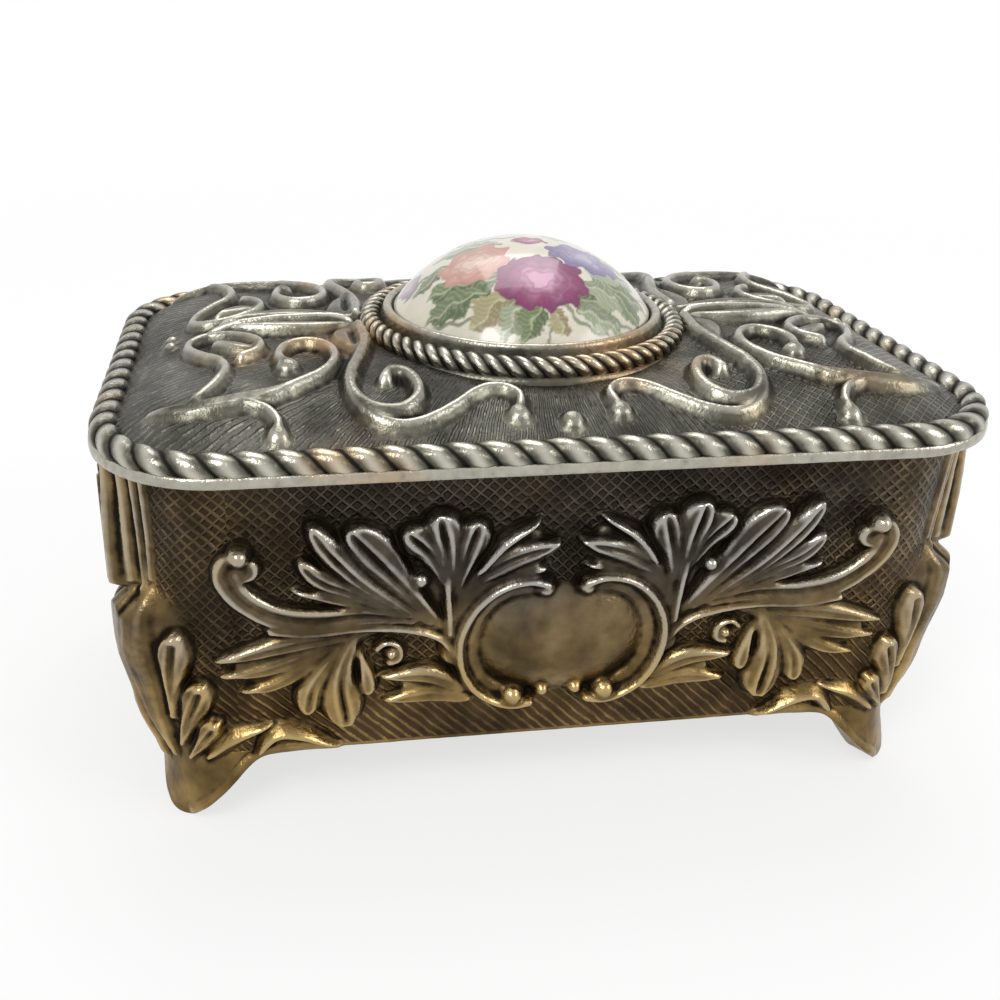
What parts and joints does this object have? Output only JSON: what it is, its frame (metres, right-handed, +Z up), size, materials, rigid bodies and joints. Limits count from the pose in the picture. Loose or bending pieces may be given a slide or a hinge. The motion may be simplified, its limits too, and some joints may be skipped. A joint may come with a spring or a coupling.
{
  "type": "trinket box",
  "caption": "Footed cast-metal trinket box with rope-edged hinged lid, porcelain cabochon in a bezel, scroll and acanthus relief and velvet lining; holds small jewellery.",
  "frame": {"origin": "centre of the box's outline on the plane that its feet stand on", "axes": "+Z up, +X along the length to the viewer's right, -Y out of the front; the hinges are at the rear, +Y"},
  "size_m": [0.105, 0.066, 0.0637],
  "materials": {
    "plated_casting": "antiqued silver plate over cast white metal, dark in the recesses and polished on the high spots",
    "hinge_wire": "drawn wire, dulled",
    "porcelain": "glossy glaze over a transfer-printed and painted spray of flowers",
    "bedding_card": "plain card",
    "lining_card": "plain card",
    "wadding": "cotton wadding",
    "velvet": "deep red cut-pile velvet"
  },
  "bodies": {
    "box": {"box_casting": "plated_casting", "hinge_pin_left": "hinge_wire", "hinge_pin_right": "hinge_wire", "wall_card": "lining_card", "wall_velvet": "velvet", "floor_card": "lining_card", "floor_wadding": "wadding", "floor_velvet": "velvet"},
    "lid": {"lid_casting": "plated_casting", "bezel_collar": "plated_casting", "porcelain_cabochon": "porcelain", "cabochon_bed": "bedding_card", "lid_card": "lining_card", "lid_wadding": "wadding", "lid_velvet": "velvet"}
  },
  "joints": [
    {"name": "lid_hinge", "type": "hinge", "parent": "box", "child": "lid", "pos_m": [0, 0.0313, 0.0445], "axis": [-1, 0, 0], "range_deg": [0, 100]}
  ]
}
